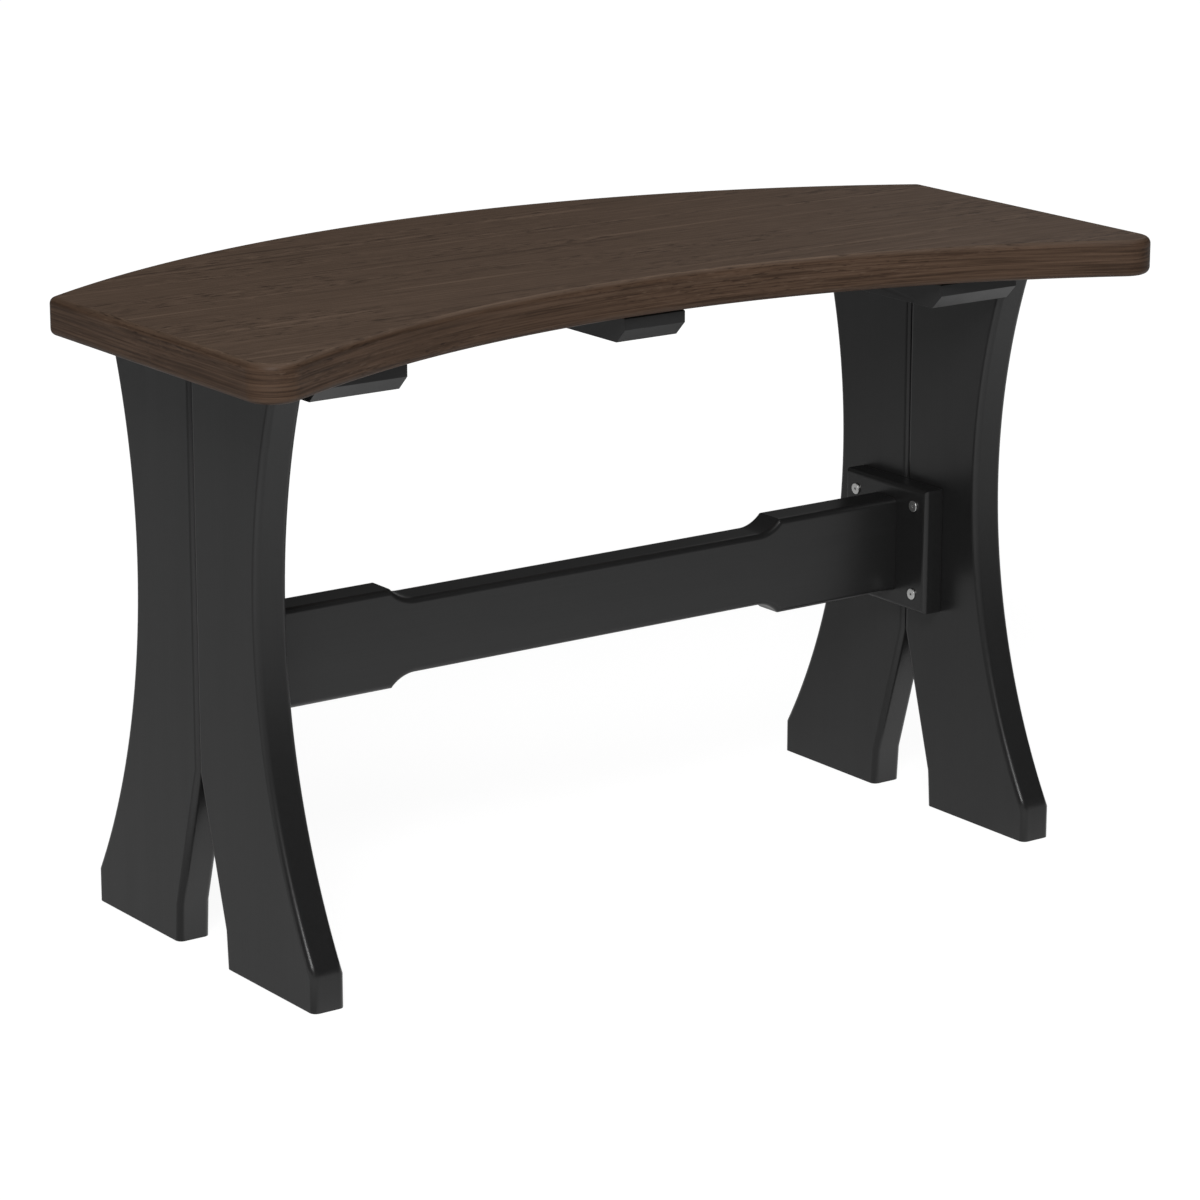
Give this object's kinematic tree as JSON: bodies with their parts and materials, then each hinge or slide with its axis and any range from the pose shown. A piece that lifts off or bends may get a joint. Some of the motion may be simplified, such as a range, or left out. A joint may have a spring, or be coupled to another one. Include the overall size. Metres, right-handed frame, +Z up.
{
  "type": "curved bench",
  "caption": "Backless bench: a curved wood-grain slab seat on black waisted trestle ends, tied by a stretcher between square mounting plates.",
  "frame": {"origin": "on the floor, under the middle of the bench's bounding box", "axes": "+X along the bench to the right as seen from the front, +Y to the back, +Z up; the hollow of the seat's curve faces -Y"},
  "size_m": [1.016, 0.5103, 0.6086],
  "materials": {
    "brown_board": "satin, straight grain",
    "black_board": "satin",
    "steel": "plain"
  },
  "bodies": {
    "root": {"seat_top": "brown_board", "left_front_leg": "black_board", "left_rear_leg": "black_board", "left_plate": "black_board", "right_front_leg": "black_board", "right_rear_leg": "black_board", "right_plate": "black_board", "stretcher": "black_board", "left_cleat": "black_board", "right_cleat": "black_board", "middle_cleat": "black_board", "left_plate_screw_lower_front": "steel", "left_plate_screw_upper_front": "steel", "left_plate_screw_lower_rear": "steel", "left_plate_screw_upper_rear": "steel", "right_plate_screw_lower_front": "steel", "right_plate_screw_upper_front": "steel", "right_plate_screw_lower_rear": "steel", "right_plate_screw_upper_rear": "steel", "left_stretcher_screw_lower": "steel", "left_stretcher_screw_upper": "steel", "right_stretcher_screw_lower": "steel", "right_stretcher_screw_upper": "steel", "left_leg_screw_front_inner": "steel", "left_leg_screw_front_outer": "steel", "left_leg_screw_rear_inner": "steel", "left_leg_screw_rear_outer": "steel", "right_leg_screw_front_inner": "steel", "right_leg_screw_front_outer": "steel", "right_leg_screw_rear_inner": "steel", "right_leg_screw_rear_outer": "steel", "left_cleat_screw_front_left": "steel", "left_cleat_screw_front_right": "steel", "left_cleat_screw_rear_left": "steel", "left_cleat_screw_rear_right": "steel", "middle_cleat_screw_front_left": "steel", "middle_cleat_screw_front_right": "steel", "middle_cleat_screw_rear_left": "steel", "middle_cleat_screw_rear_right": "steel", "right_cleat_screw_front_left": "steel", "right_cleat_screw_front_right": "steel", "right_cleat_screw_rear_left": "steel", "right_cleat_screw_rear_right": "steel"}
  },
  "joints": []
}
